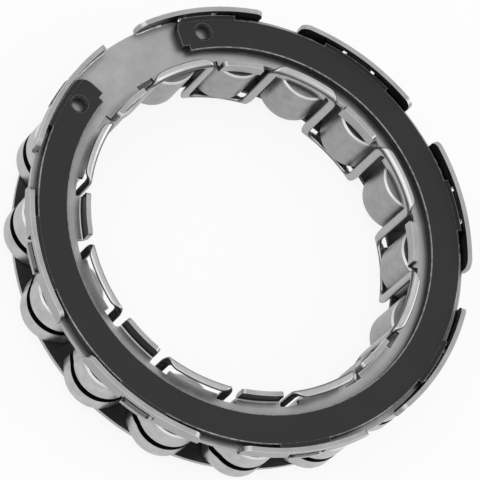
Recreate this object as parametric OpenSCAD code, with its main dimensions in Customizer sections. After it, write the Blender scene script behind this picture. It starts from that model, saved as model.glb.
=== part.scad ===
// Sprag clutch: a one-way clutch cartridge of sixteen sprags in a sheet-steel cage.
// The ring's axis is Z. It lies on the rear bars of its cage at Z = 0, front side up,
// and the opening of the black retaining ring faces +Y.

/* [Stations] */
// Number of repeated stations, each with two sprags
stations = 8; // [6:1:9]

/* [Race sizes] */
// Diameter of the inner race that the sprags grip
inner_race_d = 54.2; // [53.2:0.1:56]
// Radial space between the races, which the sprags bridge
sprag_space = 10.1; // [9.8:0.05:10.4]

/* [Sprags] */
// Length of a sprag along the axis
sprag_len = 9.7; // [9.2:0.1:10]
// Radius of the inner cam
inner_cam_r = 5.4; // [5.1:0.05:5.5]
// Radius of the outer cam
outer_cam_r = 6.4; // [6.2:0.05:6.6]
// Sideways offset of the inner cam's centre from the sprag's middle plane
inner_cam_offset = 0.5; // [0.3:0.05:0.6]
// Sideways offset of the outer cam's centre from the sprag's middle plane
outer_cam_offset = 0.85; // [0.7:0.05:1]
// Radius of the toe, the trailing shoulder
toe_r = 0.8; // [0.6:0.05:0.9]
// Direction in which the crown runs into the toe
toe_heading = 165; // [160:1:168]
// Radius of the heel, the leading shoulder
heel_r = 1; // [0.8:0.05:1.2]
// Direction in which the crown runs into the heel
heel_heading = 40; // [36:1:44]
// Chamfer round both ends of a sprag
sprag_chamfer = 0.3; // [0.15:0.05:0.5]
// Free space at each end of a sprag
sprag_end_gap = 0.1; // [0.05:0.05:0.3]

/* [Spring] */
// Height of the spring's centre line above the inner race
spring_rise = 5.4; // [4.9:0.1:5.9]
// Outside diameter of the spring's coil
spring_d = 1; // [0.8:0.05:1.05]
// Width of the spring groove across the sprags
groove_w = 1.6; // [1.5:0.05:2]
// Distance of the groove's middle from the sprag's middle, towards the rear
groove_shift = 0.55; // [0:0.05:0.6]
// Free space between the spring and the groove's floor
spring_gap = 0.45; // [0.35:0.05:0.6]

/* [Cage] */
// Free space between the inner race and the cage
race_gap = 0.55; // [0.5:0.05:0.8]
// Sheet thickness of the cage
cage_t = 0.85; // [0.7:0.05:1]
// Length of the cage along the axis
cage_len = 15.3; // [15:0.1:16.5]
// Height of the wall that is left between the closed end of each pocket and its bar
pocket_land = 0.1; // [0.05:0.05:0.3]
// Width of a pillar between two pockets
pillar_w = 1.4; // [1:0.05:1.8]
// Radial width of the bars at both ends
bar_w = 1.7; // [1.4:0.05:1.9]
// Radius of the pockets' corners
pocket_corner_r = 1.1; // [0.6:0.1:1.6]
// Radius of the outer corners of the bars
bar_corner_r = 2; // [1.2:0.1:2.4]
// Radius that rounds the outer rim of the front bars
bar_round_r = 0.6; // [0.3:0.05:0.7]

/* [Side plates] */
// Sheet thickness of both side plates
plate_t = 0.8; // [0.6:0.05:1]
// Free space between the rear bars and the rear plate
rear_plate_gap = 0.05; // [0.05:0.05:0.2]
// Distance of the rear plate's outer edge inside the outer race
rear_plate_setback = 0.95; // [0.4:0.05:1.7]
// Free space between the cage's bars and both plates' inner edge
bar_gap = 0.15; // [0.05:0.05:0.3]
// Free space between the cage's wall and the lugs of both plates
lug_gap = 0.1; // [0.05:0.05:0.2]
// Angle that a lug of the front plate spans
front_lug_angle = 17.2; // [14:0.2:18]
// Angle that a lug of the rear plate spans
rear_lug_angle = 14.4; // [12:0.2:17]

/* [Front plate tabs] */
// Distance that the outer tabs' outer face stands outside the outer race
rim_rise = 0.7; // [0.6:0.05:0.9]
// Height of the outer tabs above the web's underside
outer_tab_h = 3.5; // [3.2:0.05:3.8]
// Angle that an outer tab spans
outer_tab_angle = 34.4; // [32:0.2:36]
// Radius of the outer tabs' upper corners
outer_tab_corner_r = 1.6; // [0.8:0.1:2]
// Height of the inner tabs above the web's underside
inner_tab_h = 3.35; // [2.8:0.05:3.6]
// Angle that an inner tab spans
inner_tab_angle = 14.6; // [12:0.2:15.4]
// Radius of the inner tabs' upper corners
inner_tab_corner_r = 0.8; // [0.4:0.1:1.2]
// Outside radius of the bends at the tabs' roots
bend_r = 1.15; // [1:0.05:1.15]
// Distance of the web's outer edge inside the outer tabs' outer face
web_setback = 0.7; // [0.5:0.05:1]
// Distance that the window through the root of each outer tab reaches in past the tab
window_reach = 0.2; // [0.1:0.05:0.3]
// Angle of the window
window_angle = 9.8; // [9.2:0.2:11.6]
// Free space between the window's upper edge and the retaining ring
window_gap = 0.1; // [0.05:0.05:0.2]
// Angle of the tongue that the web sends through the window
tongue_angle = 7.8; // [6.8:0.2:8.2]
// Distance that the tongue stands out past the outer tab
tongue_rise = 0.05; // [0.05:0.05:0.2]

/* [Retaining ring] */
// Radial width of the retaining ring between its lugs
ring_w = 4.95; // [4.3:0.05:5.5]
// Height of the retaining ring's lugs above its outer edge
ring_lug_h = 0.75; // [0.5:0.05:1]
// Free space between the retaining ring's lugs and the outer tabs
ring_tab_gap = 0.2; // [0.2:0.05:0.5]
// Distance that the teeth stand out past the outer tabs
tooth_rise = 0.1; // [0.05:0.05:0.3]
// Angle of each tooth
tooth_angle = 7.4; // [6.4:0.2:8]
// Radius of the teeth's corners
tooth_corner_r = 0.8; // [0.3:0.1:1.2]
// Depth of the teeth's faces below the faces of the ring
tooth_inset = 0.2; // [0.18:0.01:0.22]
// Thickness of the retaining ring
ring_t = 1.6; // [1.4:0.05:1.7]
// Angle of the opening in the retaining ring
opening_angle = 30.8; // [26:0.2:32]
// Angle of each lug in the half that holds the opening
near_lug_angle = 19.7; // [17:0.1:20]
// Angle of each lug in the other half
far_lug_angle = 13.8; // [12:0.1:19]
// Radius of the outer corners beside the opening
end_corner_r = 2.4; // [1:0.1:2.6]
// Radial depth of the step in the inner corners beside the opening
end_step_depth = 1; // [0.5:0.1:1.2]
// Length of that step along the ring
end_step_len = 1.1; // [0.5:0.1:1.5]
// Chamfer along the retaining ring's edges
ring_chamfer = 0.15; // [0.05:0.01:0.15]
// Diameter of the plier holes
plier_d = 2.4; // [2:0.1:2.8]
// Chamfer round the plier holes
plier_chamfer = 0.3; // [0.1:0.05:0.4]
// Distance of the plier holes' centres inside the retaining ring's outer edge
plier_inset = 2.05; // [1.9:0.05:2.6]
// Angle between each plier hole and the middle of the opening
plier_angle = 22.7; // [22:0.1:24]

/* [Hidden] */
$fn = 96;

steel = [0.72, 0.72, 0.71];
bright_steel = [0.8, 0.8, 0.79];
black_oxide = [0.17, 0.17, 0.18];
eps = 0.01;
far = 60;

// Angles of one station: sprags follow each other at half the pitch
pitch = 360 / stations;
sprag_pitch = pitch / 2;
tab_sprag_angle = pitch / 4;
outer_tab_mid = pitch / 2;
bar_sprag_angle = pitch * 3 / 4;

// Levels along the axis, from the rear bars up
rear_plate_z = cage_t + rear_plate_gap;
sprag_z = rear_plate_z + plate_t + sprag_end_gap;
web_z = sprag_z + sprag_len + sprag_end_gap;
ring_z = web_z + plate_t;
front_bar_z = cage_len - cage_t;
outer_tab_top = web_z + outer_tab_h;
inner_tab_top = web_z + inner_tab_h;
ring_top = ring_z + ring_t;
window_top = ring_top + window_gap;

// Radii that follow from the sizes above
inner_race_r = inner_race_d / 2;
outer_race_r = inner_race_r + sprag_space;
cage_r = inner_race_r + race_gap;
spring_r = inner_race_r + spring_rise;
rear_plate_r = outer_race_r - rear_plate_setback;
outer_tab_r = outer_race_r + rim_rise;
outer_tab_bore_r = outer_tab_r - plate_t;
web_r = outer_tab_r - web_setback;
window_r = outer_tab_bore_r - window_reach;
tongue_r = outer_tab_r + tongue_rise;
ring_lug_r = outer_tab_bore_r - ring_tab_gap;
ring_r = ring_lug_r - ring_lug_h;
ring_bore_r = ring_r - ring_w;
tooth_r = outer_tab_r + tooth_rise;
plier_r = ring_r - plier_inset;
inner_tab_bore_r = cage_r;
lug_bore_r = cage_r + cage_t + lug_gap;
rear_pocket_z = cage_t + pocket_land;
front_pocket_z = front_bar_z - pocket_land;
bar_r = cage_r + bar_w;
plate_bore_r = bar_r + bar_gap;
pocket_half_w = (cage_r + cage_t / 2) * sin(sprag_pitch / 2) - pillar_w / 2;
fillet_root = 0.2;
// Distance that a round corner stands outside the tangents to its edges
corner_lift = 0.03;
// Distance that the gaps between the outer tabs reach in past the bend
tab_gap_reach = 0.2;
bend_start_r = outer_tab_r - bend_r;
groove_floor_r = spring_r - spring_d / 2 - spring_gap;
groove_z = sprag_z + sprag_len / 2 - groove_shift - groove_w / 2;

// Step between the end faces of the crown, the root, and the toe and heel
end_step = 0.01;

// Cam centres of a sprag that stands on +Y, with its toe towards -X
inner_cam_c = [inner_cam_offset, inner_race_r + inner_cam_r];
outer_cam_c = [outer_cam_offset, outer_race_r - outer_cam_r];
toe_c = outer_cam_c + along(toe_heading, outer_cam_r - toe_r);
heel_c = outer_cam_c + along(heel_heading, outer_cam_r - heel_r);

function along(a, r) = [r * cos(a), r * sin(a)];
function heading(a, b) = atan2(b.y - a.y, b.x - a.x);
// Direction from both centres to the points where a common outer tangent touches
function tangent_heading(a, ra, b, rb, side) = heading(a, b) + side * acos((ra - rb) / norm(b - a));

// A sector of a ring that stands between two radii and two levels
module sector(r_in, r_out, z_low, z_high, mid, span) {
    rotate([0, 0, mid - span / 2])
        rotate_extrude(angle = span)
            translate([r_in, z_low])
                square([r_out - r_in, z_high - z_low]);
}

// A full flat ring
module washer(r_in, r_out, z_low, z_high) {
    translate([0, 0, z_low])
        linear_extrude(z_high - z_low)
            difference() {
                circle(r = r_out);
                circle(r = r_in);
            }
}

// What a round corner leaves of a square one, for the corner at a point with its body towards a side
module corner_waste(corner, inward, r) {
    translate(corner + inward * (r - eps) / 2)
        difference() {
            square(r + eps, center = true);
            translate(inward * (r + eps) / 2)
                circle(r = r);
        }
}

// What is cut along X from a sheet to round its corner at the origin, with the sheet towards a side in Y
module corner_cut(r, side, toward, length) {
    difference() {
        translate([0, side > 0 ? -1 : -r, toward > 0 ? -r : -1])
            cube([length, r + 1, r + 1]);
        translate([-1, side * (r - corner_lift), -toward * (r - corner_lift)])
            rotate([0, 90, 0])
                cylinder(h = length + 2, r = r);
    }
}

// Outline of sheet that bends up from the web into a tab whose far face is at x = 0
module bent_sheet(web_length, height) {
    translate([-web_length, 0])
        square([web_length - bend_r, plate_t]);
    translate([-plate_t, bend_r])
        square([plate_t, height - bend_r]);
    translate([-bend_r, bend_r])
        intersection() {
            difference() {
                circle(r = bend_r);
                circle(r = bend_r - plate_t);
            }
            translate([0, -bend_r])
                square(bend_r);
        }
}

// Section of the front plate before its outer wall is cut into tabs
module front_plate_section() {
    translate([outer_tab_r, web_z])
        bent_sheet(outer_tab_r - plate_bore_r, outer_tab_h);
}

// What is cut from the wall between two outer tabs, with their upper corners
module tab_gap(mid) {
    gap_angle = pitch - outer_tab_angle;
    sector(bend_start_r - tab_gap_reach, far, ring_z, far, mid, gap_angle);
    sector(web_r, far, 0, far, mid, gap_angle);
    for (side = [-1, 1])
        rotate([0, 0, mid + side * gap_angle / 2])
            translate([outer_tab_bore_r - 1, 0, outer_tab_top])
                corner_cut(outer_tab_corner_r, side, 1, plate_t + 2);
}

// One inner tab, which stands inside the cage's pocket next to a sprag
module inner_tab(mid) {
    difference() {
        rotate([0, 0, mid - inner_tab_angle / 2])
            rotate_extrude(angle = inner_tab_angle)
                translate([inner_tab_bore_r, web_z])
                    mirror([1, 0])
                        bent_sheet(plate_bore_r - inner_tab_bore_r + plate_t, inner_tab_h);
        for (side = [-1, 1])
            rotate([0, 0, mid - side * inner_tab_angle / 2])
                translate([inner_tab_bore_r - 1, 0, inner_tab_top])
                    corner_cut(inner_tab_corner_r, side, 1, plate_bore_r - inner_tab_bore_r + 1);
    }
}

module front_side_plate() {
    color(steel) {
        difference() {
            rotate_extrude()
                front_plate_section();
            for (i = [0 : stations - 1]) {
                tab_gap(i * pitch);
                sector(window_r, far, 0, window_top, i * pitch + outer_tab_mid, window_angle);
            }
        }
        for (i = [0 : stations - 1]) {
            sector(window_r - plate_t, tongue_r, web_z, ring_z, i * pitch + outer_tab_mid, tongue_angle);
            inner_tab(i * pitch + tab_sprag_angle);
            sector(lug_bore_r, plate_bore_r + plate_t, web_z, ring_z, i * pitch + bar_sprag_angle,
                front_lug_angle);
        }
    }
}

module rear_side_plate() {
    color(steel) {
        washer(plate_bore_r, rear_plate_r, rear_plate_z, rear_plate_z + plate_t);
        for (i = [0 : stations - 1])
            sector(lug_bore_r, plate_bore_r + plate_t, rear_plate_z, rear_plate_z + plate_t,
                i * pitch + tab_sprag_angle, rear_lug_angle);
    }
}

// Section of the retaining ring with chamfered edges
module ring_section(r_in, r_out, inset) {
    z_low = ring_z + inset;
    z_high = ring_top - inset;
    polygon([
        [r_in, z_low + ring_chamfer],
        [r_in + ring_chamfer, z_low],
        [r_out - ring_chamfer, z_low],
        [r_out, z_low + ring_chamfer],
        [r_out, z_high - ring_chamfer],
        [r_out - ring_chamfer, z_high],
        [r_in + ring_chamfer, z_high],
        [r_in, z_high - ring_chamfer]
    ]);
}

// A tooth with round corners
module ring_tooth(mid) {
    half_width = tooth_r * sin(tooth_angle / 2);
    middle_r = (ring_bore_r + ring_r) / 2;
    rotate([0, 0, mid])
        intersection() {
            translate([0, 0, ring_z + tooth_inset])
                cylinder(h = ring_t - 2 * tooth_inset, r = tooth_r);
            translate([middle_r, 0, ring_z])
                linear_extrude(ring_t)
                    difference() {
                        translate([0, -half_width])
                            square([tooth_r - middle_r, 2 * half_width]);
                        for (side = [-1, 1])
                            corner_waste([tooth_r - middle_r, side * half_width], [-1, -side], tooth_corner_r);
                    }
        }
}

// What is cut away at one end of the ring, seen with its end face along X and the ring on +Y
module ring_end_cut() {
    translate([0, 0, ring_z - 1]) {
        difference() {
            translate([ring_lug_r - end_corner_r, -1, 0])
                cube([end_corner_r + 1, end_corner_r + 1, ring_t + 2]);
            translate([ring_lug_r - end_corner_r, end_corner_r, -1])
                cylinder(h = ring_t + 4, r = end_corner_r);
        }
        translate([ring_bore_r - 1, -1, 0])
            cube([end_step_depth + 1, end_step_len + 1, ring_t + 2]);
    }
}

module plier_hole() {
    translate([plier_r, 0, ring_z]) {
        translate([0, 0, -1])
            cylinder(h = ring_t + 2, d = plier_d);
        translate([0, 0, ring_t - plier_chamfer])
            cylinder(h = plier_chamfer + eps, r1 = plier_d / 2, r2 = plier_d / 2 + plier_chamfer + eps);
    }
}

module retaining_ring() {
    middle_r = (ring_bore_r + ring_r) / 2;
    lug_count = stations / 2;
    color(black_oxide)
        difference() {
            union() {
                rotate_extrude()
                    ring_section(ring_bore_r, ring_r, 0);
                for (side = [-1, 1])
                    for (i = [0 : lug_count - 1]) {
                        span = i < lug_count / 2 ? near_lug_angle : far_lug_angle;
                        rotate([0, 0, 90 + side * (i + 0.5) * pitch - span / 2])
                            rotate_extrude(angle = span)
                                ring_section(middle_r, ring_lug_r, end_step);
                    }
                for (i = [0 : stations - 1])
                    ring_tooth(i * pitch + outer_tab_mid);
            }
            sector(ring_bore_r - 1, ring_lug_r + 2, ring_z - 1, ring_top + 1, 90, opening_angle);
            for (side = [0, 1])
                mirror([side, 0, 0]) {
                    rotate([0, 0, 90 + opening_angle / 2])
                        ring_end_cut();
                    rotate([0, 0, 90 + plier_angle])
                        plier_hole();
                }
        }
}

// The cage is a drawn ring with a flange at each end, cut open from both ends in turn
module cage_section() {
    square_r = bar_r - bar_round_r;
    translate([cage_r, 0])
        square([cage_t, cage_len]);
    translate([cage_r, 0])
        square([bar_w, cage_t]);
    intersection() {
        union() {
            translate([cage_r, front_bar_z])
                square([square_r - cage_r, cage_t]);
            translate([square_r, cage_len - bar_round_r])
                circle(r = bar_round_r);
            translate([square_r - eps, front_bar_z])
                square([bar_round_r + eps, cage_t - bar_round_r]);
        }
        translate([0, front_bar_z])
            square([far, cage_t]);
    }
}

// A pocket that runs out through one end of the cage
module pocket_cut(mid, z_closed, z_open) {
    rotate([0, 0, mid])
        translate([cage_r - bar_w, -pocket_half_w, min(z_closed, z_open)])
            cube([3 * bar_w, 2 * pocket_half_w, abs(z_open - z_closed)]);
}

// Fillets at the closed end of a pocket, which points towards the open end
module pocket_fillets(mid, z_closed, toward) {
    r = pocket_corner_r;
    rotate([0, 0, mid])
        for (side = [-1, 1])
            translate([cage_r - bar_w, side * (pocket_half_w - r), z_closed + toward * r])
                difference() {
                    translate([0, side > 0 ? 0 : -r - fillet_root, toward > 0 ? -r - fillet_root : 0])
                        cube([3 * bar_w, r + fillet_root, r + fillet_root]);
                    translate([-1, 0, 0])
                        rotate([0, 90, 0])
                            cylinder(h = 3 * bar_w + 2, r = r);
                }
}

// The corners of the bars on both sides of an open pocket
module bar_corner_cuts(mid, z_end, toward) {
    rotate([0, 0, mid])
        for (side = [-1, 1])
            translate([cage_r - bar_w, side * pocket_half_w, z_end])
                corner_cut(bar_corner_r, side, toward, 3 * bar_w);
}

module spring_cage() {
    color(steel) {
        difference() {
            rotate_extrude()
                cage_section();
            for (i = [0 : stations - 1]) {
                pocket_cut(i * pitch + tab_sprag_angle, rear_pocket_z, cage_len + 1);
                pocket_cut(i * pitch + bar_sprag_angle, front_pocket_z, -1);
                bar_corner_cuts(i * pitch + tab_sprag_angle, cage_len, 1);
                bar_corner_cuts(i * pitch + bar_sprag_angle, 0, -1);
            }
        }
        intersection() {
            difference() {
                translate([0, 0, cage_t - 2 * fillet_root])
                    cylinder(h = front_bar_z - cage_t + 4 * fillet_root, r = cage_r + cage_t);
                cylinder(h = cage_len, r = cage_r);
            }
            for (i = [0 : stations - 1]) {
                pocket_fillets(i * pitch + tab_sprag_angle, rear_pocket_z, 1);
                pocket_fillets(i * pitch + bar_sprag_angle, front_pocket_z, -1);
            }
        }
    }
}

module energizing_spring() {
    color(bright_steel)
        rotate_extrude()
            translate([spring_r, groove_z + groove_w / 2])
                circle(d = spring_d, $fn = 24);
}

// A round shoulder of the sprag, chamfered at both ends, which lie below the crown's by the inset
module cam_disc(c, r, inset, start = 0, span = 360) {
    translate([c.x, c.y, 0])
        rotate([0, 0, start])
            rotate_extrude(angle = span)
                polygon([
                [0, inset],
                [r - sprag_chamfer, inset],
                [r, sprag_chamfer + inset],
                [r, sprag_len - sprag_chamfer - inset],
                [r - sprag_chamfer, sprag_len - inset],
                [0, sprag_len - inset]
            ]);
}

// The flat flank that joins two shoulders, with the same chamfers
module flank(a, ra, b, rb, side, depth) {
    normal = tangent_heading(a, ra, b, rb, side);
    start = a + along(normal, ra);
    length = sqrt(pow(norm(b - a), 2) - pow(ra - rb, 2));
    inner = -side * depth;
    edge = -side * sprag_chamfer;
    translate([start.x, start.y, 0])
        rotate([0, 0, normal - side * 90])
            rotate([90, 0, 90])
                linear_extrude(length)
                    polygon([
                        [inner, 0],
                        [edge, 0],
                        [0, sprag_chamfer],
                        [0, sprag_len - sprag_chamfer],
                        [edge, sprag_len],
                        [inner, sprag_len]
                    ]);
}

// A whole sprag on +Y: crown, root, toe and heel, and the flanks from the root to the shoulders
module sprag_blank() {
    translate([0, 0, sprag_z]) {
        cam_disc(outer_cam_c, outer_cam_r, 0, heel_heading, toe_heading - heel_heading);
        cam_disc(inner_cam_c, inner_cam_r, end_step);
        cam_disc(toe_c, toe_r, 2 * end_step);
        cam_disc(heel_c, heel_r, 2 * end_step);
        flank(inner_cam_c, inner_cam_r, toe_c, toe_r, 1, toe_r * 2);
        flank(inner_cam_c, inner_cam_r, heel_c, heel_r, -1, heel_r * 2);
    }
}

module sprag(number) {
    angle = tab_sprag_angle + (number - 1) * sprag_pitch;
    color(bright_steel)
        rotate([0, 0, angle - 90])
            difference() {
                sprag_blank();
                translate([0, 0, groove_z])
                    linear_extrude(groove_w)
                        difference() {
                            circle(r = far);
                            circle(r = groove_floor_r);
                        }
            }
}

front_side_plate();
rear_side_plate();
retaining_ring();
spring_cage();
energizing_spring();
sprag(1);  // sprag_01
sprag(2);  // sprag_02
sprag(3);  // sprag_03
sprag(4);  // sprag_04
sprag(5);  // sprag_05
sprag(6);  // sprag_06
sprag(7);  // sprag_07
sprag(8);  // sprag_08
sprag(9);  // sprag_09
sprag(10);  // sprag_10
sprag(11);  // sprag_11
sprag(12);  // sprag_12
sprag(13);  // sprag_13
sprag(14);  // sprag_14
sprag(15);  // sprag_15
sprag(16);  // sprag_16
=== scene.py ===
import math

import bmesh
import bpy
from mathutils import Matrix, Vector


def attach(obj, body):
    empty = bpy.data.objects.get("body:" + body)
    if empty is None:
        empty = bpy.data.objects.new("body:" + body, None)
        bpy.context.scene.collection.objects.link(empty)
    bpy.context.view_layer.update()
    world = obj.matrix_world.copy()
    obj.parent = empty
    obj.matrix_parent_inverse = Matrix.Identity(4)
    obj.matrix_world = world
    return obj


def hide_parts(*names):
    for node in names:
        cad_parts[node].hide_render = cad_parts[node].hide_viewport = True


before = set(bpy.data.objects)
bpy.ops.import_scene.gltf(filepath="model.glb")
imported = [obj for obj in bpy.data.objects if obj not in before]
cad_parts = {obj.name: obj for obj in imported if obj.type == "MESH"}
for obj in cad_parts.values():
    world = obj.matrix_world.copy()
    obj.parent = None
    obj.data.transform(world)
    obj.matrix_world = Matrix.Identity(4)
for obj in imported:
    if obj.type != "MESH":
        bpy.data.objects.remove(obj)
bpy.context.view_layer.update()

mm = 0.001

print("stage 1: camera at the angle of the photograph")

camera = {
    "lens": 384.95,          # on a 36 mm sensor, square picture
    "distance": 820.4 * mm,
    "slide": (1.948 * mm, 1.795 * mm),   # where the ring's centre sits, right and up
    "aimHeight": 14.0 * mm,  # level of the ring's front face
    "turn": 37.0,            # degrees from the measured axes to the part's own
    "axisX": (0.9327, -0.1309, -0.3361),
    "axisY": (0.0, 0.9317, -0.363),
    "axisZ": (0.3607, 0.3386, 0.8690),
}


def addCamera(spec):
    turn = math.radians(spec["turn"])
    oldX, oldY = Vector(spec["axisX"]), Vector(spec["axisY"])
    alongX = (oldX * math.cos(turn) + oldY * math.sin(turn)).normalized()
    alongZ = Vector(spec["axisZ"]).normalized()
    alongY = alongZ.cross(alongX).normalized()
    alongX = alongY.cross(alongZ)
    toCamera = Matrix((alongX, alongY, alongZ)).transposed()
    aim = Vector((0, 0, spec["aimHeight"]))
    seen = Vector((spec["slide"][0], spec["slide"][1], -spec["distance"]))
    turned = toCamera.transposed()
    data = bpy.data.cameras.new("photoCamera")
    data.lens = spec["lens"]
    data.sensor_width = 36
    data.clip_start = 0.01
    data.clip_end = 20
    made = bpy.data.objects.new("photoCamera", data)
    made.matrix_world = Matrix.Translation(aim - turned @ seen) @ turned.to_4x4()
    bpy.context.scene.collection.objects.link(made)
    bpy.context.scene.camera = made
    return made


addCamera(camera)

print("stage 2: shader helpers")


class Wire:  # an output socket that can be reckoned with
    def __init__(self, recipe, socket):
        self.recipe = recipe
        self.socket = socket

    def sum(self, operation, *others):
        return self.recipe.add("ShaderNodeMath", {"operation": operation}, dict(enumerate([self, *others])))

    def swapped(self, operation, other):
        return self.recipe.add("ShaderNodeMath", {"operation": operation}, {0: other, 1: self})

    def __add__(self, other): return self.sum("ADD", other)
    def __radd__(self, other): return self.swapped("ADD", other)
    def __sub__(self, other): return self.sum("SUBTRACT", other)
    def __rsub__(self, other): return self.swapped("SUBTRACT", other)
    def __mul__(self, other): return self.sum("MULTIPLY", other)
    def __rmul__(self, other): return self.swapped("MULTIPLY", other)
    def __truediv__(self, other): return self.sum("DIVIDE", other)
    def __rtruediv__(self, other): return self.swapped("DIVIDE", other)
    def __pow__(self, other): return self.sum("POWER", other)
    def __neg__(self): return self.swapped("SUBTRACT", 0.0)
    def __abs__(self): return self.sum("ABSOLUTE")


class Recipe:  # one material or world, and the nodes in it
    def __init__(self, owner):
        owner.use_nodes = True
        self.owner = owner
        self.tree = owner.node_tree
        self.tree.nodes.clear()

    def add(self, kind, settings=None, sockets=None, out=0):
        node = self.tree.nodes.new(kind)
        for name, value in (settings or {}).items():
            if name == "stops":
                while len(node.color_ramp.elements) > 1:
                    node.color_ramp.elements.remove(node.color_ramp.elements[-1])
                for i, (place, tone) in enumerate(value):
                    stop = node.color_ramp.elements[0] if i == 0 else node.color_ramp.elements.new(place)
                    stop.position = place
                    stop.color = (tone, tone, tone, 1)
            else:
                setattr(node, name, value)
        for name, value in (sockets or {}).items():
            if isinstance(value, Wire):
                self.tree.links.new(value.socket, node.inputs[name])
            else:
                node.inputs[name].default_value = value
        return Wire(self, node.outputs[out])

    def place(self):
        return self.add("ShaderNodeTexCoord", out="Object")

    def split(self, vector):
        first = self.add("ShaderNodeSeparateXYZ", sockets={0: vector})
        node = first.socket.node
        return [Wire(self, node.outputs[i]) for i in range(3)]

    def noise(self, where, size, detail=3.0, rough=0.5):
        return self.add("ShaderNodeTexNoise", {"noise_dimensions": "3D"},
                        {"Vector": where, "Scale": 1 / size, "Detail": detail, "Roughness": rough}, out=0)

    def ramp(self, value, low, high, start=0.0, end=1.0):  # smooth step from start to end
        return self.add("ShaderNodeMapRange", {"interpolation_type": "SMOOTHSTEP", "clamp": True},
                        {"Value": value, "From Min": low, "From Max": high, "To Min": start, "To Max": end})

    def band(self, value, low, high, soft):  # 1 between low and high
        return self.ramp(value, low - soft, low) * self.ramp(value, high + soft, high)

    def grey(self, value):
        return self.add("ShaderNodeCombineColor", sockets={0: value, 1: value, 2: value})

    def radius(self, where):
        x, y, z = self.split(where)
        return (x * x + y * y) ** 0.5, z

    def clear(self, reach):  # 1 where nothing is near, less in corners and gaps
        return self.add("ShaderNodeAmbientOcclusion", {"samples": 8}, {"Distance": reach}, out=1)

    def edges(self, reach):  # 1 along sharp edges
        rounded = self.add("ShaderNodeBevel", {"samples": 6}, {"Radius": reach})
        flat = self.add("ShaderNodeNewGeometry", out="Normal")
        agree = self.add("ShaderNodeVectorMath", {"operation": "DOT_PRODUCT"}, {0: rounded, 1: flat}, out=1)
        return self.ramp(agree, 0.985, 0.86)

    def facing(self):  # the three parts of the surface's own direction in the part's frame
        turned = self.add("ShaderNodeVectorTransform",
                          {"vector_type": "NORMAL", "convert_from": "WORLD", "convert_to": "OBJECT"},
                          {"Vector": self.add("ShaderNodeNewGeometry", out="Normal")})
        return self.split(turned)


# the output node has no output socket, so it is added apart from the rest
def close(recipe, kind, surface):
    node = recipe.tree.nodes.new(kind)
    recipe.tree.links.new(surface.socket, node.inputs["Surface"])


def shadeWith(recipe, fixed, varying):
    close(recipe, "ShaderNodeOutputMaterial",
          recipe.add("ShaderNodeBsdfPrincipled", sockets={**fixed, **varying}))
    return recipe.owner


def newRecipe(name):
    return Recipe(bpy.data.materials.new(name))


print("stage 3: finishes")

stampedSteel = {
    "tone": 0.37, "clouds": 0.09, "cloudSize": 3.5 * mm,
    "grain": 0.06, "grainSize": 0.12 * mm,
    "rough": 0.34, "roughSpread": 0.10,
    "bumpDepth": 0.006 * mm, "bumpStrength": 0.6,
    "marks": 0.2, "markWidth": 0.11 * mm,       # turned rings on the web
    "creviceShadeLevel": 0.27, "creviceShadeReach": 1.6 * mm,
    "edge": 0.17 * mm, "edgeWearAndGlint": 0.34,
    "outerFace": (37.07 * mm, 37.12 * mm, 0.04 * mm), "outerFaceShade": 0.68,
    "innerFace": (28.43 * mm, 28.47 * mm, 0.03 * mm), "innerFaceShade": 0.9,
    "faceShadeLevel": (12.45 * mm, 12.7 * mm),        # from here up, the tab faces get painted shade
}


# large soft clouds and fine grain, each about 0
def cloudsAndGrain(recipe, spec, where):
    clouds = recipe.noise(where, spec["cloudSize"], 4.0) - 0.5
    grain = recipe.noise(where, spec["grainSize"], 2.0, 0.6) - 0.5
    return clouds, grain


def grainBump(recipe, spec, grain):
    return recipe.add("ShaderNodeBump", sockets={
        "Height": grain, "Distance": spec["bumpDepth"], "Strength": spec["bumpStrength"]})


def steelBody(recipe, spec, where):
    clouds, grain = cloudsAndGrain(recipe, spec, where)
    tone = spec["tone"] + clouds * (2 * spec["clouds"]) + grain * (2 * spec["grain"])
    rough = spec["rough"] + clouds * (2 * spec["roughSpread"]) + grain * spec["roughSpread"]
    return tone, rough, grainBump(recipe, spec, grain)


# painted shade: darker in corners and gaps, by an ambient-occlusion mask
def withCreviceShade(recipe, spec, tone):
    return tone * (spec["creviceShadeLevel"] + (1 - spec["creviceShadeLevel"]) * recipe.clear(spec["creviceShadeReach"]))


def makePlateSteel():
    spec = stampedSteel
    recipe = newRecipe("frontPlateSteel")
    where = recipe.place()
    tone, rough, bump = steelBody(recipe, spec, where)
    radius, z = recipe.radius(where)
    # fine marks round the web from facing
    rings = recipe.add("ShaderNodeTexNoise", {"noise_dimensions": "1D"},
                       {"W": radius / spec["markWidth"], "Scale": 1.0, "Detail": 2.0, "Roughness": 0.6}) - 0.5
    tone = tone + rings * spec["marks"] * recipe.ramp(abs(recipe.facing()[2]), 0.8, 0.95)
    # painted shade on the faces of the tabs that look at the black ring
    outerTabs = recipe.band(radius, *spec["outerFace"])
    innerTabs = recipe.band(radius, *spec["innerFace"])
    above = recipe.ramp(z, *spec["faceShadeLevel"])
    tone = tone * (1 - (outerTabs * spec["outerFaceShade"] + innerTabs * spec["innerFaceShade"]) * above)
    # painted shade in corners and gaps, and a painted highlight along the sharp edges
    tone = withCreviceShade(recipe, spec, tone) + recipe.edges(spec["edge"]) * spec["edgeWearAndGlint"]
    return shadeWith(recipe, {"Metallic": 1.0},
                     {"Base Color": recipe.grey(tone), "Roughness": rough, "Normal": bump})


cageSteelSpec = {
    "tone": 0.42, "clouds": 0.07, "cloudSize": 1.6 * mm,
    "grain": 0.05, "grainSize": 0.14 * mm,
    "rough": 0.36, "roughSpread": 0.08,
    "bumpDepth": 0.002 * mm, "bumpStrength": 0.6,
    "crestHighlight": 0.05, "polish": 0.08,              # painted highlight on the crests, which are also smoother
    "rimShade": 0.8, "bendShade": 0.65,
    "creviceShadeLevel": 0.22, "creviceShadeReach": 1.2 * mm,
}


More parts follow.
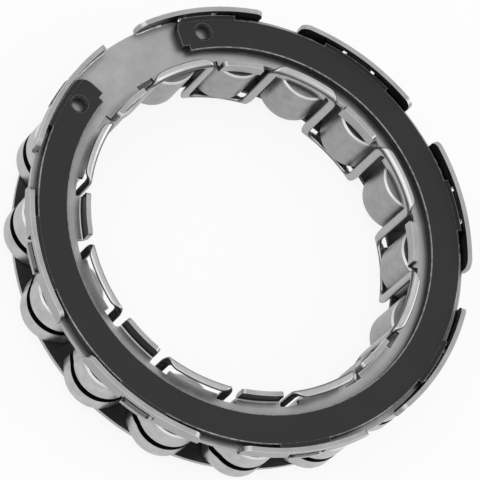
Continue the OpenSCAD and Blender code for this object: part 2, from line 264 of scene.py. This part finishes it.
def makeCageSteel():
    spec = cageSteelSpec
    recipe = newRecipe("cageSteel")
    where = recipe.place()
    tone, rough, bump = steelBody(recipe, spec, where)
    x, y, z = recipe.split(where)
    across, along, up = recipe.facing()
    outward = (x * across + y * along) / (x * x + y * y) ** 0.5
    # painted highlight on the crests and painted shade on the bends and the cut rims, by the surface's
    # direction; corners and gaps get painted shade too
    crest = recipe.ramp(abs(up), 0.72, 0.98)
    bend = recipe.band(abs(up), 0.3, 0.6, 0.2) * recipe.ramp(outward, -0.2, -0.5)
    rim = recipe.ramp(abs(up), 0.98, 0.65) * recipe.ramp(outward, 0.0, 0.3)
    tone = (tone + crest * spec["crestHighlight"]) * (1 - rim * spec["rimShade"]) * (1 - bend * spec["bendShade"])
    return shadeWith(recipe, {"Metallic": 1.0},
                     {"Base Color": recipe.grey(withCreviceShade(recipe, spec, tone)),
                      "Roughness": rough - crest * spec["polish"], "Normal": bump})


spragSteelSpec = {
    "tone": 0.50, "clouds": 0.17, "cloudSize": 1.8 * mm,
    "grain": 0.09, "grainSize": 0.16 * mm,
    "rough": 0.4, "roughSpread": 0.08,
    "bumpDepth": 0.004 * mm, "bumpStrength": 0.6,
    "creviceShadeLevel": 0.25, "creviceShadeReach": 2.0 * mm,
    "grooveMiddle": 6.1 * mm, "grooveHalf": (0.82 * mm, 0.81 * mm),
    "grooveFloor": (31.5 * mm, 31.52 * mm), "grooveShade": 0.93,
    "rootRadii": (31.0 * mm, 28.6 * mm), "rootShade": 0.3,
    "chamferHighlight": 0.3, "chamferPolish": 0.1,
}


def makeSpragSteel():
    spec = spragSteelSpec
    recipe = newRecipe("spragSteel")
    where = recipe.place()
    tone, rough, bump = steelBody(recipe, spec, where)
    radius, z = recipe.radius(where)
    # painted shade keeps the spring groove black
    near = recipe.ramp(abs(z - spec["grooveMiddle"]), *spec["grooveHalf"])
    deep = recipe.ramp(radius, *spec["grooveFloor"])
    tone = tone * (1 - near * deep * spec["grooveShade"])
    # painted shade, darker towards the roots nearer the shaft
    tone = tone * (1 - recipe.ramp(radius, *spec["rootRadii"]) * spec["rootShade"])
    # painted highlight on the end chamfers, and painted shade in corners and gaps
    tilt = abs(recipe.facing()[2])
    chamfer = recipe.ramp(tilt, 0.5, 0.6) * recipe.ramp(tilt, 0.85, 0.78)
    tone = withCreviceShade(recipe, spec, tone) + chamfer * spec["chamferHighlight"]
    return shadeWith(recipe, {"Metallic": 1.0},
                     {"Base Color": recipe.grey(tone),
                      "Roughness": rough - chamfer * spec["chamferPolish"], "Normal": bump})


blackOxideSpec = {
    "tone": 0.009, "clouds": 0.3, "cloudSize": 5.0 * mm,
    "grain": 0.15, "grainSize": 0.14 * mm,
    "rough": 0.5, "roughSpread": 0.1, "specular": 0.33,
    "bumpDepth": 0.005 * mm, "bumpStrength": 0.7,
    "edge": 0.16 * mm, "edgeWearAndGlint": 0.34, "wearSize": 0.8 * mm,
    "innerRim": (31.7 * mm, 31.6 * mm), "outerRim": (35.85 * mm, 35.95 * mm),
    "toothEnd": (37.95 * mm, 37.98 * mm), "toothLevels": (12.7 * mm, 13.7 * mm, 0.1 * mm), "shearTone": 0.15,
}


def makeBlackOxide():
    spec = blackOxideSpec
    recipe = newRecipe("blackOxide")
    where = recipe.place()
    clouds, grain = cloudsAndGrain(recipe, spec, where)
    tone = spec["tone"] * (1 + clouds * (2 * spec["clouds"]) + grain * (2 * spec["grain"]))
    # the broken edges wear through to bare steel, and a painted highlight runs along the sharp edges
    tilt = abs(recipe.facing()[2])
    wearAndGlint = recipe.ramp(tilt, 0.4, 0.55) * recipe.ramp(tilt, 0.9, 0.8)
    wearAndGlint = wearAndGlint * recipe.ramp(recipe.noise(where, spec["wearSize"], 3.0), 0.3, 0.6, 0.4, 1.0)
    # the holes' chamfers keep their finish
    radius, z = recipe.radius(where)
    rims = recipe.ramp(radius, *spec["innerRim"]) + recipe.ramp(radius, *spec["outerRim"])
    wearAndGlint = (wearAndGlint * rims).sum("MAXIMUM", recipe.edges(spec["edge"]) * recipe.ramp(tilt, 0.3, 0.8, 0.35, 0.9))
    # the sheared ends of the teeth
    sheared = recipe.ramp(radius, *spec["toothEnd"]) * recipe.band(z, *spec["toothLevels"])
    tone = tone + wearAndGlint * spec["edgeWearAndGlint"] + sheared * spec["shearTone"] * (0.7 + grain)
    return shadeWith(recipe, {"Metallic": 0.0, "Specular IOR Level": spec["specular"]},
                     {"Base Color": recipe.grey(tone),
                      "Roughness": spec["rough"] + clouds * spec["roughSpread"],
                      "Normal": grainBump(recipe, spec, grain)})


darkPlateSpec = {
    "tone": 0.04, "clouds": 0.25, "cloudSize": 4.0 * mm,
    "grain": 0.2, "grainSize": 0.14 * mm,
    "rough": 0.45, "roughSpread": 0.1, "metal": 0.6,
    "bumpDepth": 0.005 * mm, "bumpStrength": 0.7,
    "rim": (36.2 * mm, 36.235 * mm), "rimTone": 0.4,      # the sheared outer edge
}


def makeDarkPlate():
    spec = darkPlateSpec
    recipe = newRecipe("rearPlateDark")
    where = recipe.place()
    clouds, grain = cloudsAndGrain(recipe, spec, where)
    radius, z = recipe.radius(where)
    tone = spec["tone"] * (1 + clouds * (2 * spec["clouds"]) + grain * (2 * spec["grain"]))
    tone = tone + recipe.ramp(radius, *spec["rim"]) * spec["rimTone"]
    return shadeWith(recipe, {"Metallic": spec["metal"]},
                     {"Base Color": recipe.grey(tone),
                      "Roughness": spec["rough"] + clouds * spec["roughSpread"],
                      "Normal": grainBump(recipe, spec, grain)})


# painted shade: the wire is kept dark like the shaded groove it lies in
springWireSpec = {
    "tone": 0.16, "clouds": 0.03, "cloudSize": 2.0 * mm,
    "grain": 0.03, "grainSize": 0.08 * mm,
    "rough": 0.35, "roughSpread": 0.05,
    "bumpDepth": 0.002 * mm, "bumpStrength": 0.6,
}


def makeSpringWire():
    recipe = newRecipe("springWire")
    tone, rough, bump = steelBody(recipe, springWireSpec, recipe.place())
    return shadeWith(recipe, {"Metallic": 1.0},
                     {"Base Color": recipe.grey(tone), "Roughness": rough, "Normal": bump})


plateSteel = makePlateSteel()
cageSteel = makeCageSteel()
spragSteel = makeSpragSteel()
blackOxide = makeBlackOxide()
rearPlateDark = makeDarkPlate()
springWire = makeSpringWire()

finishOf = {
    "front_side_plate": plateSteel,
    "rear_side_plate": rearPlateDark,
    "retaining_ring": blackOxide,
    "spring_cage": cageSteel,
    "energizing_spring": springWire,
}
for nodeName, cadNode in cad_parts.items():
    finish = finishOf.get(nodeName, spragSteel)
    for materialSlot in cadNode.material_slots:
        materialSlot.material = finish

print("stage 4: coiled spring")

garterSpring = {
    "middleRadius": 32.5 * mm,
    "level": 6.1 * mm,
    "coilRadius": 0.40 * mm,
    "wireRadius": 0.085 * mm,
    "turns": 560,
    "pointsPerTurn": 10,
}


def windSpring(spec):
    curve = bpy.data.curves.new("garterSpring", "CURVE")
    curve.dimensions = "3D"
    curve.bevel_depth = spec["wireRadius"]
    curve.bevel_resolution = 1
    curve.use_fill_caps = False
    count = spec["turns"] * spec["pointsPerTurn"]
    spline = curve.splines.new("POLY")
    spline.points.add(count - 1)
    spline.use_cyclic_u = True
    for i in range(count):
        swing = 2 * math.pi * i / count
        coil = 2 * math.pi * i / spec["pointsPerTurn"]
        radius = spec["middleRadius"] + spec["coilRadius"] * math.cos(coil)
        spline.points[i].co = (radius * math.cos(swing), radius * math.sin(swing),
                               spec["level"] + spec["coilRadius"] * math.sin(coil), 1)
    made = bpy.data.objects.new("garterSpring", curve)
    bpy.context.scene.collection.objects.link(made)
    made.data.materials.append(springWire)
    return made


spring = windSpring(garterSpring)
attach(spring, "cartridge")
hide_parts("energizing_spring")

print("stage 5: cage with rolled bars")

rolledCage = {
    "stations": 8,
    "frontBar": 33.75,            # degrees to the middle of the first front bar
    "wallRadius": 27.65 * mm,     # the face towards the shaft
    "middleRadius": 28.075 * mm,  # where angles turn into lengths
    "sheet": 0.85 * mm,
    "length": 15.3 * mm,
    "barWidth": 1.7 * mm,
    "curl": 0.9 * mm, "curlAngle": 48,    # the rim rolls down
    "bend": 1.0 * mm,
    "pillar": 1.5 * mm,
    "pocketFrom": 14.32 * mm,     # level at which a pocket ends below its front bar
    "pocketCorner": (1.4 * mm, 1.4 * mm),
    "barCorner": (2.6 * mm, 4.3 * mm),    # round the ring, and along the sheet from the rim
    "cornerSteps": 12, "straightSteps": 4, "pillarSteps": 6,
    "roundEdge": 0.41 * mm, "edgeSteps": 5, "stepsAcross": 10,
    "weld": 0.001 * mm,
}


# lengths of the curled rim, the flat and the bend, and of the whole sheet from rim to rim, measured
# along the face towards the shaft
def sheetRuns(spec):
    curl = math.radians(spec["curlAngle"])
    flat = spec["barWidth"] - spec["bend"] - spec["curl"] * math.sin(curl)
    turn = spec["bend"] * math.pi / 2
    whole = 2 * (spec["curl"] * curl + flat + turn) + spec["length"] - 2 * spec["bend"]
    return spec["curl"] * curl, flat, turn, whole


# radius and level at a length from the front rim, along the face towards the shaft, and the way
# from there into the sheet
def sheetPoint(spec, run):
    rim, flat, turn, whole = sheetRuns(spec)
    flipped = run > whole / 2
    run = whole - run if flipped else run
    if run < rim:
        tilt = -(rim - run) / spec["curl"]
        radius = spec["wallRadius"] + spec["bend"] + flat - spec["curl"] * math.sin(tilt)
        level = spec["length"] - spec["curl"] * (1 - math.cos(tilt))
    elif run < rim + flat:
        tilt = 0
        radius = spec["wallRadius"] + spec["bend"] + rim + flat - run
        level = spec["length"]
    elif run < rim + flat + turn:
        tilt = (run - rim - flat) / spec["bend"]
        radius = spec["wallRadius"] + spec["bend"] * (1 - math.sin(tilt))
        level = spec["length"] - spec["bend"] * (1 - math.cos(tilt))
    else:
        tilt = math.pi / 2
        radius = spec["wallRadius"]
        level = spec["length"] - spec["bend"] - (run - rim - flat - turn)
    if flipped:
        return radius, spec["length"] - level, math.sin(tilt), math.cos(tilt)
    return radius, level, math.sin(tilt), -math.cos(tilt)


# both edges of the flat ribbon, from the middle of a front bar to that of the next rear bar
def ribbonEdges(spec):
    rim, flat, turn, whole = sheetRuns(spec)
    rise = math.asin((spec["pocketFrom"] - spec["length"] + spec["bend"]) / spec["bend"])
    pocket = rim + flat + turn - rise * spec["bend"]
    reach = spec["middleRadius"] * 2 * math.pi / spec["stations"] / 2
    half, small, large = spec["pillar"] / 2, spec["pocketCorner"], spec["barCorner"]
    mid = reach / 2

    def arc(centre, size, start, end):
        steps = spec["cornerSteps"]
        angles = [math.radians(start + (end - start) * i / steps) for i in range(steps + 1)]
        return [(centre[0] + size[0] * math.cos(a), centre[1] + size[1] * math.sin(a)) for a in angles]

    def straight(first, last, steps):  # the points between, without both ends
        shares = [i / steps for i in range(1, steps)]
        return [(first[0] + (last[0] - first[0]) * t, first[1] + (last[1] - first[1]) * t) for t in shares]

    def edge(corner, level, farLevel, nearSize, farSize):
        bar, post = spec["straightSteps"], spec["pillarSteps"]
        start, far = (0, level), (reach, farLevel)
        points = [start] + straight(start, (corner - nearSize[0], level), bar)
        points += arc((corner - nearSize[0], level + nearSize[1]), nearSize, -90, 0)
        points += straight((corner, level + nearSize[1]), (corner, farLevel - farSize[1]), post)
        points += arc((corner + farSize[0], farLevel - farSize[1]), farSize, 180, 90)
        return points + straight((corner + farSize[0], farLevel), far, bar) + [far]

    inner = edge(mid - half, pocket, whole, small, large)
    outer = edge(mid + half, 0, whole - pocket, large, small)
    return inner, outer, reach


# the ribbon's section, as lengths in from one edge and depths below that face
def ribbonSection(spec, width):
    r, steps, deep = spec["roundEdge"], spec["edgeSteps"], spec["sheet"]
    turns = [math.pi / 2 * i / steps for i in range(steps + 1)]
    flat = [r + (width - 2 * r) * i / spec["stepsAcross"] for i in range(1, spec["stepsAcross"])]
    points = [(r - r * math.cos(a), r - r * math.sin(a)) for a in turns]
    points += [(across, 0) for across in flat]
    points += [(width - r + r * math.sin(a), r - r * math.cos(a)) for a in turns]
    points += [(width - r + r * math.cos(a), deep - r + r * math.sin(a)) for a in turns]
    points += [(across, deep) for across in reversed(flat)]
    return points + [(r - r * math.sin(a), deep - r + r * math.cos(a)) for a in turns]


# one section of the ribbon between a point on each edge, which are places round the ring and
# lengths along the sheet
def sectionPlaces(spec, first, last, shift):
    width = math.dist(first, last)
    places = []
    for across, depth in ribbonSection(spec, width):
        share = across / width
        along = first[0] + (last[0] - first[0]) * share + shift
        radius, level, inX, inZ = sheetPoint(spec, first[1] + (last[1] - first[1]) * share)
        radius += inX * depth
        swing = math.radians(spec["frontBar"]) + along / spec["middleRadius"]
        places.append((radius * math.cos(swing), radius * math.sin(swing), level + inZ * depth))
    return places


def rollCage(spec):
    inner, outer, reach = ribbonEdges(spec)
    there = list(zip(inner, outer))
    back = [((2 * reach - i[0], i[1]), (2 * reach - o[0], o[1])) for i, o in reversed(there[1:-1])]
    mesh = bmesh.new()
    loops = []
    for station in range(spec["stations"]):
        for first, last in there + back:
            places = sectionPlaces(spec, first, last, 2 * reach * station)
            loops.append([mesh.verts.new(place) for place in places])
    for i, loop in enumerate(loops):
        after = loops[(i + 1) % len(loops)]
        for j in range(len(loop)):
            k = (j + 1) % len(loop)
            mesh.faces.new((loop[j], loop[k], after[k], after[j]))
    bmesh.ops.remove_doubles(mesh, verts=mesh.verts, dist=spec["weld"])
    bmesh.ops.recalc_face_normals(mesh, faces=mesh.faces)
    data = bpy.data.meshes.new("rolledCage")
    mesh.to_mesh(data)
    mesh.free()
    data.polygons.foreach_set("use_smooth", [True] * len(data.polygons))
    made = bpy.data.objects.new("rolledCage", data)
    bpy.context.scene.collection.objects.link(made)
    data.materials.append(cageSteel)
    return made


cage = rollCage(rolledCage)
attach(cage, "cartridge")
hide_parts("spring_cage")

print("stage 6: floor, background and soft light")

studio = {
    "floorSize": 3.0,
    "floorTone": 0.82, "fleck": 0.02, "fleckSize": 20 * mm,
    "shadowShare": 0.12,    # how much of the floor's own light the camera sees
    "worldLevel": 0.75,
    "keyPlace": (-0.5, 0.3, 1.1), "keySize": 1.5, "keyPower": 5.5,
    "sidePlace": (0.7, -0.6, 0.5), "sideSize": 0.8, "sidePower": 2.5,
}


def seenDirectly(recipe):
    direct = recipe.add("ShaderNodeLightPath", out="Is Camera Ray")
    glossy = recipe.add("ShaderNodeLightPath", out="Is Glossy Ray")
    through = recipe.add("ShaderNodeLightPath", out="Is Transmission Ray")
    return direct.sum("MAXIMUM", glossy).sum("MAXIMUM", through)


def addFloor(spec):
    half = spec["floorSize"] / 2
    mesh = bpy.data.meshes.new("studioFloor")
    corners = [(-half, -half, 0), (half, -half, 0), (half, half, 0), (-half, half, 0)]
    mesh.from_pydata(corners, [], [(0, 1, 2, 3)])
    floor = bpy.data.objects.new("studioFloor", mesh)
    bpy.context.scene.collection.objects.link(floor)
    recipe = newRecipe("studioFloorPaper")
    fleck = recipe.noise(recipe.place(), spec["fleckSize"], 2.0) - 0.5
    tone = recipe.grey(spec["floorTone"] + fleck * spec["fleck"])
    paper = recipe.add("ShaderNodeBsdfDiffuse", sockets={"Color": tone})
    glow = recipe.add("ShaderNodeEmission", sockets={"Color": (1, 1, 1, 1), "Strength": 1.0})
    share = seenDirectly(recipe) * (1 - spec["shadowShare"])
    mixed = recipe.add("ShaderNodeMixShader", sockets={0: share, 1: paper, 2: glow})
    close(recipe, "ShaderNodeOutputMaterial", mixed)
    mesh.materials.append(recipe.owner)
    return floor


def addLamp(name, place, size, power):
    data = bpy.data.lights.new(name, "AREA")
    data.shape = "DISK"
    data.size = size
    data.energy = power
    lamp = bpy.data.objects.new(name, data)
    lamp.location = place
    lamp.rotation_euler = (-Vector(place)).to_track_quat("-Z", "Y").to_euler()
    bpy.context.scene.collection.objects.link(lamp)


def lightWorld(spec):
    world = bpy.data.worlds.new("studioWorld")
    bpy.context.scene.world = world
    recipe = Recipe(world)
    soft = recipe.add("ShaderNodeBackground", sockets={"Color": (1, 1, 1, 1), "Strength": spec["worldLevel"]})
    white = recipe.add("ShaderNodeBackground", sockets={"Color": (1, 1, 1, 1), "Strength": 1.0})
    mixed = recipe.add("ShaderNodeMixShader", sockets={0: seenDirectly(recipe), 1: soft, 2: white})
    close(recipe, "ShaderNodeOutputWorld", mixed)


addFloor(studio)
lightWorld(studio)
addLamp("keyLamp", studio["keyPlace"], studio["keySize"], studio["keyPower"])
addLamp("sideLamp", studio["sidePlace"], studio["sideSize"], studio["sidePower"])
bpy.context.scene.view_settings.view_transform = "Standard"
